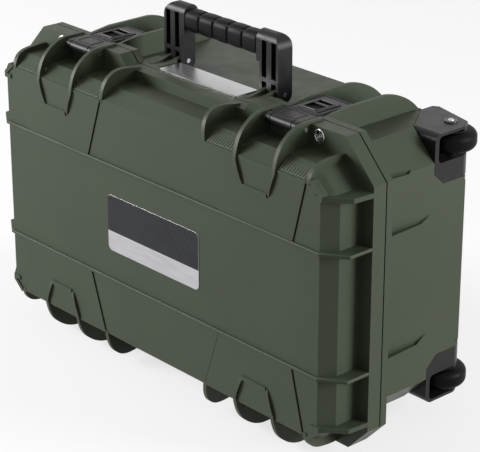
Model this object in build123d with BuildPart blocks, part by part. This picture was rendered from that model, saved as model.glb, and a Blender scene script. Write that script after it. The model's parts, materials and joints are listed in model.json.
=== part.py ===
"""Rolling hard case for a laptop, standing on its hinge side with the carrying handle up.

X runs along the case towards the wheels, Y from the lid (minus) to the base (plus) and
Z is up.  The origin is on the surface the case stands on, mid-length, under the
middle of its overall depth.  The sizes below measure Y from the parting plane and heights
from the middle of the case; the planes facing(), side() and level() place them.
Millimetres.
"""
import os
from math import atan2, degrees

from build123d import *

os.makedirs("parts", exist_ok=True)

# ---- overall sizes
case_length = 560.0            # over the end flanges
flange_top = 173.0             # half the case's height over the flanges
lid_depth = 62.0               # parting plane to the lid's front face
base_depth = 144.0             # parting plane to the base's back face
wall = 4.0                     # moulded walls

# ---- flanges; a drop is measured down from the top of the flanges
lid_flange = 17.5              # from the parting plane
base_flange = 9.0
flange_corner = (39.0, 41.0)   # cut corners, along X and Z
parting_gap = 1.6              # between the two flanges
hinge_side_drop = 13.0         # flanges are lower on the hinge side
centre_drop = 11.0             # lowered flange and platform under the handle
centre_half_length = 95.0
centre_slant = 10.0
foot_rise = 3.4                # crests of the base's tall ribs above the flanges

# ---- lid
lid_end_step = 16.0            # flange edge to the lid's end wall
lid_drop = 23.5
lid_corner = (28.0, 27.0)
face_step = 11.5               # the bevel's reach along X
face_drop = 12.5               # the bevel's reach along Z
face_corner = (14.0, 12.0)
bevel_depth = 15.5
bevel_wall = (2.0, 2.5)        # wall behind the face's edge, along X and Z
rib_taper = 14.5               # wrapped ribs reach full height this far behind the face
long_rib_height = 67.0
long_rib = (4.0, 2.8, 1.4)     # thickness, proud of the face, edge rounding
guard_height = 123.5           # lower rib of each corner guard
guard_thick = 5.0
guard_kink = (2.0, 20.0)       # inside the flange's end, behind the face
guard_rim = (4.0, 1.5, 7.0)    # width, proud of the face, behind the face
guard_length = 30.0            # along the face
arch_root_drop = 39.0          # foot of the arched ribs
corner_arch_inset = (44.5, 40.0)  # arched corner rib from the flange's end, low and high
panel_proud = 1.2              # raised panels round the latches
panel_reach = (-77.5, -54.0, 53.5, 71.5)  # panel corners from the latch's middle
panel_groove = (1.6, 1.1)      # width and depth of the groove down both sides of a panel
nameplate_size = (150.0, 65.0, 0.8)
nameplate_corner = 6.0

# ---- ears that carry a latch or a hinge
ear_inset = 3.75               # foot of an ear inside the latch's side
ear_drop = 69.0                # foot of the ears
ear_spread = 10.5              # outward lean of the lower leg
ear_lean = 28.0                # height of the leaning part
ear_thick = 4.6
ear_rise = 2.5                 # crest above the flanges
ear_proud = 4.0                # ears in front of the face
pin_proud = 0.6                # latch pins beyond the ears

# ---- base
base_end_step = 25.0           # flange edge to the base's end wall
base_drop = 21.7
base_corner = (30.0, 31.0)
base_edge = 5.0                # rounded back edges
end_wall = 12.0                # end walls, thick enough for the scoops
scoop_depth = 8.5
scoop_rise = 26.0              # height over which a floor slants in by that depth
top_wall = 4.8
divider_thick = 4.0
divider_gap = 1.75             # latch to the tall ribs beside it
divider_flat = 34.0            # start of the level crest, from the parting plane
divider_tail = 54.0            # end of the level crest, from the back face
platform_half_length = 100.0
platform_back = 32.6
handle_label_size = (123.0, 1.5, 1.2)  # length, margin, thickness

# ---- seal and eyelets
seal_width = 4.4
seal_groove_depth = 3.4
seal_inset = 3.0               # lid's mouth to the groove
eyelet_inset = 75.0            # from the flange's end
eyelet_drop = 9.5
eyelet_barrel = 6.0
eyelet_bore = 4.6
eyelet_rim = (7.8, 1.0)        # radius, thickness

# ---- latches
latch_inset = 118.5            # latch's middle from the flange's end
latch_width = 43.5
latch_pivot = (-24.5, 5.0)     # Y and drop
knuckle_radius = 5.75
knuckle_seam = (1.2, 1.2)      # width and depth
latch_pin_radius = 2.5
latch_end = 52.0
latch_rise = 0.75              # plate above the flanges
latch_plate = 4.5
latch_skirt = 3.0
skirt_drop = 12.0
channel_drop = 15.0            # flanges under a latch
window_half_width = 10.0
window_front = 10.5
window_back = 35.0
cross_bar = (25.0, 29.0)       # Y of the bar across the window
frame_margin = 4.5             # raised frame round the window
frame_proud = 1.0
trigger_pivot = (18.5, 6.8)    # Y and drop
trigger_pin_radius = 1.5
trigger_hub_radius = 3.5
trigger_gap = 0.6
trigger_swing = 0.7            # more room in front, where the rocker's edge dips
claw_thick = 3.0
claw_tip = (2.6, 2.0)          # reach in front of the leg, thickness
claw_half_width = 8.0
catch_thick = 3.5
catch_reach = 8.0              # catch behind the base's flange
catch_half_width = 12.0
catch_gap = 0.6                # claw to the catch
hub_side = 4.0                 # trigger's hub ends here, and the spring takes the rest
trigger_wire = 0.45

# ---- carrying handle
handle_pivot = (43.5, 10.5)    # Y and drop
handle_half_length = 90.5
arm_width = 28.5
arm_radius = 10.0
handle_rise = 54.0
handle_corner = 16.0
grip_half_length = 57.0
grip_rise = 25.0               # underside of the grip above the flanges
grip_core = (16.0, 20.0)       # core bar across Y and Z
grip_cover = 2.5               # grip round its core
grip_round = 7.0
arm_shoulder = 4.0             # arms step down below the grip
slot_width = 7.0
slot_offset = 7.2
slot_web = (11.5, 16.0)        # cross web above the axis
slot_rise = 45.0
slot_depth = 13.0
lug_thick = 5.0
lug_radius = 7.5
handle_pin_radius = 2.5

# ---- hinges
hinge_drop = 6.6               # axis from the lower edge of the flanges' outline
hinge_radius = 8.0
hinge_pin_radius = 2.5
hinge_lug = (3.25, 5.0)        # lid lugs beyond the latch's side, thickness
knuckle_gap = 0.3              # base knuckle to the lid's lugs

# ---- wheels
axle_inset = 44.0              # from the flange's end
axle_from_back = 7.0           # axle in front of the back face
wheel_drop = 40.0
wheel_radius = 27.5
wheel_width = 21.0
tyre_round = 8.0
hub_radius = 17.0
hub_web = 7.0
hub_rim = 2.5
axle_radius = 4.0
axle_head = (7.0, 1.6)
bearing_radius = 7.5
bracket_margin = (15.0, 12.5)  # solid round the wheel's room, along X and Y
bracket_tail = 18.0            # behind the back face
bracket_drop = (23.0, 77.0)    # outer and inner faces
bracket_plate = 3.0
wheel_side_gap = 3.5           # wheel to the bracket's plates
washer = 0.5                   # more room on the inner side
wheel_clear = 2.5
bracket_bevel = (14.0, 13.0)
bracket_corner = (30.0, 38.0)  # top plate's cut corner, along X and Y
bracket_round = (9.0, 5.0)     # front corners, outside and round the opening
bracket_screw_inset = 7.0      # from the bracket's inner end
bracket_screw_margin = (8.0, 10.0)

# ---- telescopic handle
tube_height = 62.0
tube_from_back = 15.0
outer_tube = (16.0, 26.0)      # across Y and Z
tube_wall = 1.4
tube_gap = 0.4
tube_round = 1.5
channel_depth = 26.0
channel_half = 80.0
cover_thick = 3.6
cover_half = 90.0
cover_step = 82.6
cover_depth = 12.7
cover_bevel = 7.3              # depth of the cover's bevelled sides
channel_side = 13.0            # solid beside the channel, for the cover's screws
recess_length = 46.0
tube_inset = 23.0              # tubes' far ends from the end wall
stage_step = 13.0              # each stage is this much shorter than the last
middle_proud = 6.0             # middle tubes beyond the outer ones
collar_thick = 4.0
collar_margin = 4.0
socket_grip = 10.0
grip_bar = (20.0, 22.0)        # along X and across Y
grip_bar_half = 78.0
grip_inset = 2.5
grip_leg = (14.0, 22.0)        # across Y and Z
grip_hollow = 5.5
button_size = (10.6, 28.0)
button_proud = 1.5
button_travel = 3.0
yoke = (3.0, 3.0)              # thickness and half width
yoke_gap = 2.2
rod_radius = 1.6
button_coil = (2.6, 0.4)       # spring's mean radius and wire radius

# ---- screws
screw_radius = 2.0
screw_head = (3.4, 2.4)
cross_recess = (4.0, 0.8, 1.4)  # length, width, depth
cover_screw_z = 85.6
cover_screw_inset = 85.0       # outermost screws from the flange's end
cover_screw_count = 4          # along each side
cover_screw_length = 22.0
bracket_screw_length = 15.0
bracket_thread = 3.5           # into the base

# ---- foam
lid_foam_thick = 34.0
laptop_pocket = (370.0, 250.0, 44.0)   # along X, along Z, deep
pad_thick = 8.0

# ---- clearances and fits
running = 0.05                 # radial, pins that turn
seat_gap = 0.4                 # fixed parts let into the base
soft_gap = 0.5                 # foam to its neighbours
pass_gap = 1.0                 # mouldings that swing past each other

# ---- values that follow
foot_reach = flange_top + foot_rise
mid = foot_reach
lip = parting_gap / 2
front = -lid_depth
half_length = case_length / 2
flange_bottom = flange_top - hinge_side_drop
centre_top = flange_top - centre_drop
lid_half = half_length - lid_end_step
lid_top = flange_top - lid_drop
face_half = lid_half - face_step
face_top = lid_top - face_drop
ear_foot = latch_width / 2 - ear_inset
ear_low = flange_top - ear_drop
ear_crest = flange_top + ear_rise
base_half = half_length - base_end_step
base_top = flange_top - base_drop
cavity_half = base_half - end_wall
cavity_top = base_top - top_wall
eyelet_x = half_length - eyelet_inset
eyelet_height = flange_top - eyelet_drop
latch_x = half_length - latch_inset
latch_centres = (-latch_x, latch_x)
latch_axis = (latch_pivot[0], flange_top - latch_pivot[1])
latch_top = flange_top + latch_rise
latch_under = latch_top - latch_plate
trigger_axis = (trigger_pivot[0], flange_top - trigger_pivot[1])
channel_height = flange_top - channel_drop
channel_half_width = latch_width / 2 + divider_gap
divider_spacing = 2 * channel_half_width + divider_thick
ear_offset = ear_foot + ear_spread
pin_half = ear_offset + ear_thick / 2 + pin_proud
hinge_height = flange_top - hinge_drop
lug_inner = latch_width / 2 + hinge_lug[0]
lug_outer = lug_inner + hinge_lug[1]
lug_room = ear_offset + ear_thick / 2 + seat_gap
ear_sweep = ((ear_rise + hinge_drop) ** 2 + base_flange ** 2) ** 0.5
handle_axis = (handle_pivot[0], flange_top - handle_pivot[1])
handle_top = flange_top + handle_rise
arm_inner = handle_half_length - arm_width
arm_middle = handle_half_length - arm_width / 2
grip_middle_z = flange_top + grip_rise + grip_cover + grip_core[1] / 2
axle_x = half_length - axle_inset
axle_y = base_depth - axle_from_back
wheel_height = flange_top - wheel_drop
wheel_low = wheel_height - wheel_width / 2
room_radius = wheel_radius + wheel_clear
bracket_inner_x = axle_x - room_radius - bracket_margin[0]
bracket_front = axle_y - room_radius - bracket_margin[1]
bracket_back = base_depth + bracket_tail
bracket_high = flange_top - bracket_drop[0]
bracket_low = flange_top - bracket_drop[1]
room_low = wheel_low - wheel_side_gap - washer
room_high = wheel_low + wheel_width + wheel_side_gap
pocket_x = bracket_inner_x - seat_gap
pocket_y = bracket_front - seat_gap
pocket_z = bracket_low - seat_gap
tube_y = base_depth - tube_from_back
tube_end = base_half - tube_inset
channel_front = base_depth - channel_depth
hollow_back = channel_front - wall
body_depth = pocket_y - wall - pass_gap
cover_front = base_depth - cover_depth
recess_x = -base_half + recess_length
grip_x = -base_half + grip_inset
leg_start = grip_x + grip_bar[0]
yoke_x = grip_x + wall + yoke_gap
middle_y = (axle_y + wheel_radius - lid_depth - ear_proud) / 2
mirror_x = Plane.YZ
mirror_mid = Plane.XY.offset(mid)


# ================= helpers =================
def facing(y):
    """Plane at a given Y, seen from the front; it extrudes towards the front."""
    return Plane(origin=(0, y - middle_y, mid), x_dir=(1, 0, 0), z_dir=(0, -1, 0))


def side(x):
    """Plane at a given X with Y across and height up; it extrudes towards plus X."""
    return Plane(origin=(x, -middle_y, mid), x_dir=(0, 1, 0), z_dir=(1, 0, 0))


def level(height):
    """Horizontal plane at a height."""
    return Plane(origin=(0, -middle_y, mid + height))


def polygon(*points):
    """Closed straight-sided sketch."""
    with BuildSketch() as shape:
        with BuildLine():
            Polyline(*points, close=True)
        make_face()
    return shape.sketch


def outline(half_x, half_z, corner):
    """Rectangle with four cut corners."""
    cut_x, cut_z = corner
    with BuildSketch() as shape:
        Rectangle(2 * half_x, 2 * half_z)
        with BuildLine():
            Polyline(
                (half_x, half_z),
                (half_x - cut_x, half_z),
                (half_x, half_z - cut_z),
                close=True,
            )
        corner_face = make_face(mode=Mode.PRIVATE)
        for piece in (corner_face, corner_face.mirror(Plane.YZ)):
            add(piece, mode=Mode.SUBTRACT)
            add(piece.mirror(Plane.XZ), mode=Mode.SUBTRACT)
    return shape.sketch


def rectangle(x0, x1, y0, y1):
    """Rectangle between two corners."""
    return polygon((x0, y0), (x1, y0), (x1, y1), (x0, y1))


def circle(x, y, radius):
    """Round sketch at a point."""
    with BuildSketch() as shape:
        with Locations((x, y)):
            Circle(radius)
    return shape.sketch


def slab(plane, sketch, thickness):
    """Sketch extruded from its plane."""
    with BuildPart() as solid:
        with BuildSketch(plane):
            add(sketch)
        extrude(amount=thickness)
    return solid.part


def slab_x(sketch, x0, x1):
    """Side profile between two X."""
    return slab(side(x0), sketch, x1 - x0)


def slab_y(sketch, y0, y1):
    """Front outline between two Y."""
    return slab(facing(y1), sketch, y1 - y0)


def slab_z(sketch, z0, z1):
    """Plan outline between two heights."""
    return slab(level(z0), sketch, z1 - z0)


def block(x0, x1, y0, y1, z0, z1):
    """Box between two corners."""
    return slab_z(rectangle(x0, x1, y0, y1), z0, z1)


def rod_x(x0, x1, y, height, radius):
    """Round bar along X."""
    return slab_x(circle(y, height, radius), x0, x1)


def rod_y(x, height, y0, y1, radius):
    """Round bar along Y."""
    return slab_y(circle(x, height, radius), y0, y1)


def rod_z(x, y, z0, z1, radius):
    """Round bar along Z."""
    return slab_z(circle(x, y, radius), z0, z1)


def two_ends(solid):
    """A solid and its copy at the other end of the case."""
    return [solid, solid.mirror(mirror_x)]


def top_and_bottom(solid):
    """A solid and its copy at the other side of the middle."""
    return [solid, solid.mirror(mirror_mid)]


def four_corners(solid):
    """A solid and its three mirrored copies."""
    return [copy for half in two_ends(solid) for copy in top_and_bottom(half)]


def join(solids):
    """Add solids to the part being built."""
    for solid in solids:
        add(solid)


def cut(solids):
    """Take solids from the part being built."""
    for solid in solids:
        add(solid, mode=Mode.SUBTRACT)


def finish(builder, name):
    """Label a finished piece and write it."""
    builder.part.label = name
    export_step(builder.part, f"parts/{name}.step")


def flange_outline():
    """Outline of both flanges, lowered under the handle."""
    cut_x, cut_z = flange_corner
    low_x = half_length - cut_x * (flange_bottom - flange_top + cut_z) / cut_z
    right = [
        (centre_half_length, centre_top),
        (centre_half_length + centre_slant, flange_top),
        (half_length - cut_x, flange_top),
        (half_length, flange_top - cut_z),
        (half_length, -flange_top + cut_z),
        (low_x, -flange_bottom),
    ]
    left = [(-x, z) for x, z in reversed(right)]
    return polygon(*right, *left)


def hollow_outline(inset, with_wheels):
    """Hollow of the base; behind the full section it steps in round the wheel brackets."""
    half_x = cavity_half - inset
    half_z = cavity_top - inset
    with BuildSketch() as shape:
        add(outline(half_x, half_z, base_corner))
        if with_wheels:
            near_x = pocket_x - wall - inset
            near_z = pocket_z - wall - inset
            corner = rectangle(near_x, base_half, near_z, base_top)
            add(corner, mode=Mode.SUBTRACT)
            add(corner.mirror(Plane.XZ), mode=Mode.SUBTRACT)
    return shape.sketch


# ================= lid =================
def ear_profile():
    """Side view of an ear: proud of the face, bulging over the bevel up to its crest."""
    arch = [(front - ear_proud + 1, ear_low + 5), (front - ear_proud, ear_low + 24),
            (front - ear_proud + 2, face_top + 4), (front + 5, flange_top - 15.5),
            (front + 15.5, flange_top - 5.5), (front + 28, flange_top + 0.8),
            (front + 42, ear_crest)]
    with BuildSketch() as shape:
        with BuildLine():
            Spline(*arch)
            Polyline(arch[-1], (-lip, ear_crest), (-lip, lid_top), (-lid_flange, lid_top - wall),
                     (front + wall + 2, lid_top - wall), (front + wall, ear_low),
                     (front - 1, ear_low), arch[0])
        make_face()
    return shape.sketch


def ear(sign):
    """One ear beside the latch at plus X; its foot leans out, then it stands upright."""
    inner = latch_x + sign * (ear_foot - ear_thick / 2)
    outer = latch_x + sign * (ear_foot + ear_thick / 2)
    lean = sign * ear_spread
    bend = ear_low + ear_lean
    strip = polygon((inner, ear_low), (outer, ear_low), (outer + lean, bend),
                    (outer + lean, ear_crest), (inner + lean, ear_crest), (inner + lean, bend))
    with BuildPart() as solid:
        add(slab_y(strip, front - 2 * ear_proud, 0))
        add(slab_x(ear_profile(), 0, half_length), mode=Mode.INTERSECT)
    return solid.part


def arch_rib(x_low, x_high, crest):
    """Rib over the bevel from the face to the flange."""
    z_low = crest[0][1]
    z_high = crest[-1][1] + 10
    half = guard_thick / 2
    strip = polygon((x_low - half, z_low - 1), (x_low + half, z_low - 1),
                    (x_high + half, z_high), (x_high - half, z_high))
    with BuildSketch() as shape:
        with BuildLine():
            Spline(*crest)
            Polyline(crest[-1], (-lid_flange, lid_top - wall),
                     (front + bevel_depth, lid_top - wall), (front + wall, z_low), crest[0])
        make_face()
    with BuildPart() as solid:
        add(slab_y(strip, front - 2 * ear_proud, 0))
        add(slab_x(shape.sketch, 0, half_length), mode=Mode.INTERSECT)
    return solid.part


def hinge_lug_profile():
    """Lid lug round the hinge pin, tied back into the flange."""
    with BuildSketch() as shape:
        with Locations((0, -hinge_height)):
            Circle(hinge_radius)
        with BuildLine():
            Polyline((-lid_flange, -hinge_height), (-2, -hinge_height - hinge_radius + 0.3),
                     (-lip, -hinge_height), (-lip, -lid_top), (-lid_flange - 8, -lid_top),
                     close=True)
        make_face()
    return shape.sketch


with BuildPart() as lid_shell:
    # bevelled front, body and flange
    with BuildSketch(facing(front)):
        add(outline(face_half, face_top, face_corner))
    with BuildSketch(facing(front + bevel_depth)):
        add(outline(lid_half, lid_top, lid_corner))
    loft()
    join([
        slab_y(outline(lid_half, lid_top, lid_corner), front + bevel_depth, -lid_flange),
        slab_y(flange_outline(), -lid_flange, -lip),
    ])
    # raised panels round the latches, with a groove down each side
    top_in, low_in, low_out, top_out = (latch_x + reach for reach in panel_reach)
    panel = polygon((low_in, long_rib_height), (top_in, face_top), (top_out, face_top),
                    (low_out, long_rib_height))
    join(four_corners(slab_y(panel, front - panel_proud, front + 1)))
    groove_width, groove_deep = panel_groove
    for low_x, high_x, step in ((low_in, top_in, -groove_width), (low_out, top_out, groove_width)):
        groove = polygon((low_x, long_rib_height), (high_x, face_top), (high_x + step, face_top),
                         (low_x + step, long_rib_height))
        cut(four_corners(slab_y(groove, front - panel_proud, front + groove_deep)))
    # long ribs and the lower ribs of the corner guards wrap round both ends
    rib_plan = [(half_length, -lid_flange), (half_length, front + rib_taper),
                (face_half + 1.5, front - long_rib[1])]
    rib_plan = polygon(*rib_plan, *[(-x, y) for x, y in reversed(rib_plan)])
    rib_low = long_rib_height - long_rib[0] / 2
    with BuildPart(mode=Mode.PRIVATE) as rib:
        add(slab_z(rib_plan, rib_low, rib_low + long_rib[0]))
        fillet(rib.edges().group_by(Axis.Z)[0] + rib.edges().group_by(Axis.Z)[-1], long_rib[2])
    join(top_and_bottom(rib.part))
    rim_width, rim_proud, rim_deep = guard_rim
    kink_x, kink_y = guard_kink
    guard_plan = polygon((half_length, -lid_flange), (half_length - kink_x, front + kink_y),
                         (face_half + 2, front - rim_proud), (face_half - 8, front - rim_proud),
                         (face_half - guard_length, -lid_flange))
    guard_low = guard_height - guard_thick / 2
    join(four_corners(slab_z(guard_plan, guard_low, guard_low + guard_thick)))
    # rim along each cut corner of the face, between the guard's ribs
    cut_x, cut_z = face_corner
    rim_slope = rim_width / (cut_x ** 2 + cut_z ** 2) ** 0.5
    rim_low = (face_half, face_top - cut_z)
    rim_high = (face_half - cut_x, face_top)
    rim = polygon(rim_low, rim_high,
                  (rim_high[0] + cut_z * rim_slope, rim_high[1] + cut_x * rim_slope),
                  (rim_low[0] + cut_z * rim_slope, rim_low[1] + cut_x * rim_slope),
                  (rim_low[0] + cut_z * rim_slope, guard_low), (rim_low[0], guard_low))
    join(four_corners(slab_y(rim, front - rim_proud, front + rim_deep)))
    # arched ribs beside the handle and at the corners
    root = flange_top - arch_root_drop
    inner_crest = [(front - 0.5, root), (front + 0.5, root + 13), (front + 5, root + 24),
                   (front + 14, root + 31.5), (front + 32, root + 33), (front + 52, root + 30)]
    corner_crest = [(front - 1, root), (front + 1, root + 10), (front + 8, root + 17),
                    (front + 20, root + 20.5), (front + 34, root + 21.5),
                    (front + 52, root + 21.5)]
    beside_handle = handle_half_length - 6.5
    corner_low, corner_high = (half_length - inset for inset in corner_arch_inset)
    join(four_corners(arch_rib(beside_handle, beside_handle - 6, inner_crest)))
    join(four_corners(arch_rib(corner_low, corner_high, corner_crest)))
    # hinge lugs; the ears at the bottom run into them
    for centre in latch_centres:
        for inner in (centre - lug_outer, centre + lug_inner):
            add(slab_x(hinge_lug_profile(), inner, inner + lug_outer - lug_inner))
    # ears either side of each latch and each hinge, with the bar that joins their feet
    foot_bar = block(latch_x - ear_foot, latch_x + ear_foot, front - ear_proud + 1, front + 1,
                     ear_low, ear_low + ear_thick)
    for solid in (ear(1), ear(-1), foot_bar):
        join(four_corners(solid))
    # hollow, a wall thick behind the face, the bevel and the body
    hollow_corner = (lid_corner[0] - 1, lid_corner[1] - 1)
    mouth = outline(lid_half - wall, lid_top - wall, hollow_corner)
    bevel_back = front + bevel_depth + 1
    with BuildSketch(facing(front + wall)):
        add(outline(face_half - bevel_wall[0], face_top - bevel_wall[1], face_corner))
    with BuildSketch(facing(bevel_back)):
        add(mouth)
    loft(mode=Mode.SUBTRACT)
    cut([slab_y(mouth, bevel_back, 0)])
    for centre in latch_centres:
        # room for the latch over the flange, its pivot, the hinge pin and the base's knuckle
        cut([
            block(centre - channel_half_width, centre + channel_half_width,
                  -lid_flange - pass_gap, 0, channel_height, foot_reach),
            rod_x(centre - pin_half - wall, centre + pin_half + wall, *latch_axis,
                  latch_pin_radius),
            rod_x(centre - lug_outer - wall, centre + lug_outer + wall, 0, -hinge_height,
                  hinge_pin_radius),
            block(centre - lug_inner, centre + lug_inner,
                  -hinge_radius - pass_gap, hinge_radius,
                  -hinge_height - hinge_radius - pass_gap,
                  -hinge_height + hinge_radius + pass_gap),
        ])
    # groove for the seal and holes for the eyelets
    groove_x = lid_half - wall + seal_inset
    groove_z = lid_top - wall + seal_inset
    groove_outer = outline(groove_x + seal_width, groove_z + seal_width, lid_corner)
    groove_inner = outline(groove_x, groove_z, hollow_corner)
    cut([slab_y(groove_outer - groove_inner, -lip - seal_groove_depth, 0)])
    for x in (-eyelet_x, eyelet_x):
        cut([rod_y(x, eyelet_height, -lid_flange - pass_gap, 0, eyelet_barrel)])
finish(lid_shell, "lid_shell")

with BuildPart() as lid_gasket:
    # fills its groove and stops just short of the base's flange
    add(slab_y(groove_outer - groove_inner, -lip - seal_groove_depth, lip - soft_gap / 2))
finish(lid_gasket, "lid_gasket")

with BuildPart() as lid_foam:
    foam_front = front + wall + soft_gap
    foam_step = bevel_back + soft_gap
    foam_mouth = outline(lid_half - wall - soft_gap, lid_top - wall - soft_gap, lid_corner)
    add(slab_y(foam_mouth, foam_step, foam_front + lid_foam_thick))
    with BuildSketch(facing(foam_front)):
        add(outline(face_half - bevel_wall[0] - 3, face_top - bevel_wall[1] - 3, face_corner))
    with BuildSketch(facing(foam_step)):
        add(foam_mouth)
    loft()
finish(lid_foam, "lid_foam")

with BuildPart() as nameplate:
    width, height, thick = nameplate_size
    with BuildSketch(facing(front)):
        RectangleRounded(width, height, nameplate_corner)
    extrude(amount=thick)
finish(nameplate, "nameplate")

with BuildPart() as latch_pins:
    for centre in latch_centres:
        add(rod_x(centre - pin_half, centre + pin_half, *latch_axis, latch_pin_radius))
finish(latch_pins, "latch_pins")

with BuildPart() as hinge_pins:
    for centre in latch_centres:
        add(rod_x(centre - lug_outer, centre + lug_outer, 0, -hinge_height, hinge_pin_radius))
finish(hinge_pins, "hinge_pins")


def eyelet(x, outer_y, inner_y):
    """Flanged steel eyelet; its rim lies on the flange's outer face."""
    rim_radius, rim_thick = eyelet_rim
    out = 1 if outer_y > inner_y else -1
    rim = sorted((outer_y, outer_y + out * rim_thick))
    barrel = sorted((outer_y, inner_y))
    with BuildPart() as solid:
        add(rod_y(x, eyelet_height, *rim, rim_radius))
        add(rod_y(x, eyelet_height, *barrel, eyelet_barrel))
        cut([rod_y(x, eyelet_height, -lid_depth, lid_depth, eyelet_bore)])
    return solid.part


with BuildPart() as lid_eyelets:
    for x in (-eyelet_x, eyelet_x):
        add(eyelet(x, -lid_flange, -lip))
finish(lid_eyelets, "lid_eyelets")

with BuildPart() as base_eyelets:
    for x in (-eyelet_x, eyelet_x):
        add(eyelet(x, base_flange, lip))
finish(base_eyelets, "base_eyelets")


# ================= base =================
head_y = base_depth - screw_head[1]
first_x = half_length - cover_screw_inset
pitch = 2 * first_x / (cover_screw_count - 1)
cover_screw_places = [
    (-first_x + i * pitch, z)
    for i in range(cover_screw_count)
    for z in (-cover_screw_z, cover_screw_z)
]
bracket_screw_x = bracket_inner_x + bracket_screw_inset
bracket_head_y = pocket_y + bracket_screw_length - bracket_thread
upper_screws = [
    (bracket_screw_x, bracket_low + bracket_screw_margin[0]),
    (bracket_screw_x, bracket_high - bracket_screw_margin[1]),
]
bracket_screw_places = upper_screws + [(x, -z) for x, z in upper_screws]


def divider_profile():
    """Side view of a tall rib: flat crest, rounded down to the back face."""
    crest_end = (base_depth - divider_tail, foot_reach)
    tail = (base_depth - base_edge, base_top)
    with BuildSketch() as shape:
        with BuildLine():
            Polyline((base_depth - base_edge, cavity_top), (base_flange - 1, cavity_top),
                     (base_flange - 1, flange_top), (base_flange, flange_top),
                     (divider_flat, foot_reach), crest_end)
            ThreePointArc(crest_end, (base_depth - divider_tail / 2, foot_reach - 8), tail)
            Line(tail, (base_depth - base_edge, cavity_top))
        make_face()
    return shape.sketch


def handle_lug_profile():
    """Side view of a lug: hollow slope up from the flange, round over the pivot."""
    y, z = handle_axis
    slope_foot = (8, centre_top + 0.5)
    slope_top = (y - 5, z + 5.5)
    with BuildSketch() as shape:
        with Locations((y, z)):
            Circle(lug_radius)
        with BuildLine():
            ThreePointArc(slope_foot, (y - 19.5, z + 2), slope_top)
            Polyline(slope_top, (y + lug_radius, z), (y + lug_radius, cavity_top),
                     (slope_foot[0], cavity_top), slope_foot)
        make_face()
    return shape.sketch


def scoops():
    """Wedges let into the end wall; each floor slants in from the upper edge to the lower one."""
    shapes = [
        [(base_flange, 142), (67.3, 126.5), (56.8, 118.7), (base_flange, 121)],
        [(base_flange, 83.5), (92, 67.3), (77, 59.8), (base_flange, 57.4)],
        [(base_flange, -52.5), (91.6, -65.1), (77.2, -74.9), (base_flange, -78)],
        [(base_flange, -119), (66, -127), (58.5, -139.6), (base_flange, -144)],
    ]
    solids = []
    for points in shapes:
        (y, z), (tail_y, tail_z) = points[:2]
        slant = polygon((base_half, z), (base_half - scoop_depth, z - scoop_rise),
                        (base_half + 1, z - scoop_rise), (base_half + 1, z))
        upper_edge = Axis((0, y - middle_y, mid + z), (1, 0, 0))
        tilt = degrees(atan2(tail_z - z, tail_y - y))
        with BuildPart() as solid:
            add(slab_y(slant, 0, base_depth).rotate(upper_edge, tilt))
            add(slab_x(polygon(*points), base_half - scoop_depth, base_half + 1),
                mode=Mode.INTERSECT)
        solids.append(solid.part)
    return solids


def hinge_knuckle_profile():
    """Base knuckle between two lid lugs."""
    with BuildSketch() as shape:
        with Locations((0, -hinge_height)):
            Circle(hinge_radius)
        with BuildLine():
            Polyline((0, -hinge_height - hinge_radius), (base_flange, -hinge_height),
                     (base_flange, -lid_top), (lip, -lid_top), (lip, -hinge_height),
                     close=True)
        make_face()
    return shape.sketch


def bracket_corner_outline(gap):
    """Plan of the shell's web over a bracket's inner front corner, grown by a gap."""
    reach_x, reach_y = bracket_corner
    return polygon((pocket_x - 1, pocket_y - 1), (pocket_x + reach_x + gap, pocket_y - 1),
                   (pocket_x + reach_x + gap, pocket_y + 4), (pocket_x + 6 + gap, pocket_y + reach_y),
                   (pocket_x - 1, pocket_y + reach_y + gap))


def bracket_bevel_fill():
    """End view of the shell's web under a bracket's bevelled corner."""
    bevel_y, bevel_z = bracket_bevel
    low = (bracket_front + bevel_y - seat_gap / 2, pocket_z)
    high = (pocket_y, bracket_low + bevel_z - seat_gap / 2)
    return polygon((pocket_y - 1, pocket_z - 1), (low[0], pocket_z - 1), low, high,
                   (pocket_y - 1, high[1]))


def cover_outline(gap):
    """End view of the rear cover; the gap widens it for its seat."""
    back = base_depth
    return polygon((back, -cover_half - gap), (cover_front + cover_bevel, -cover_half - gap),
                   (cover_front - gap, -cover_step - gap), (cover_front - gap, cover_step + gap),
                   (cover_front + cover_bevel, cover_half + gap), (back, cover_half + gap))


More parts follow.
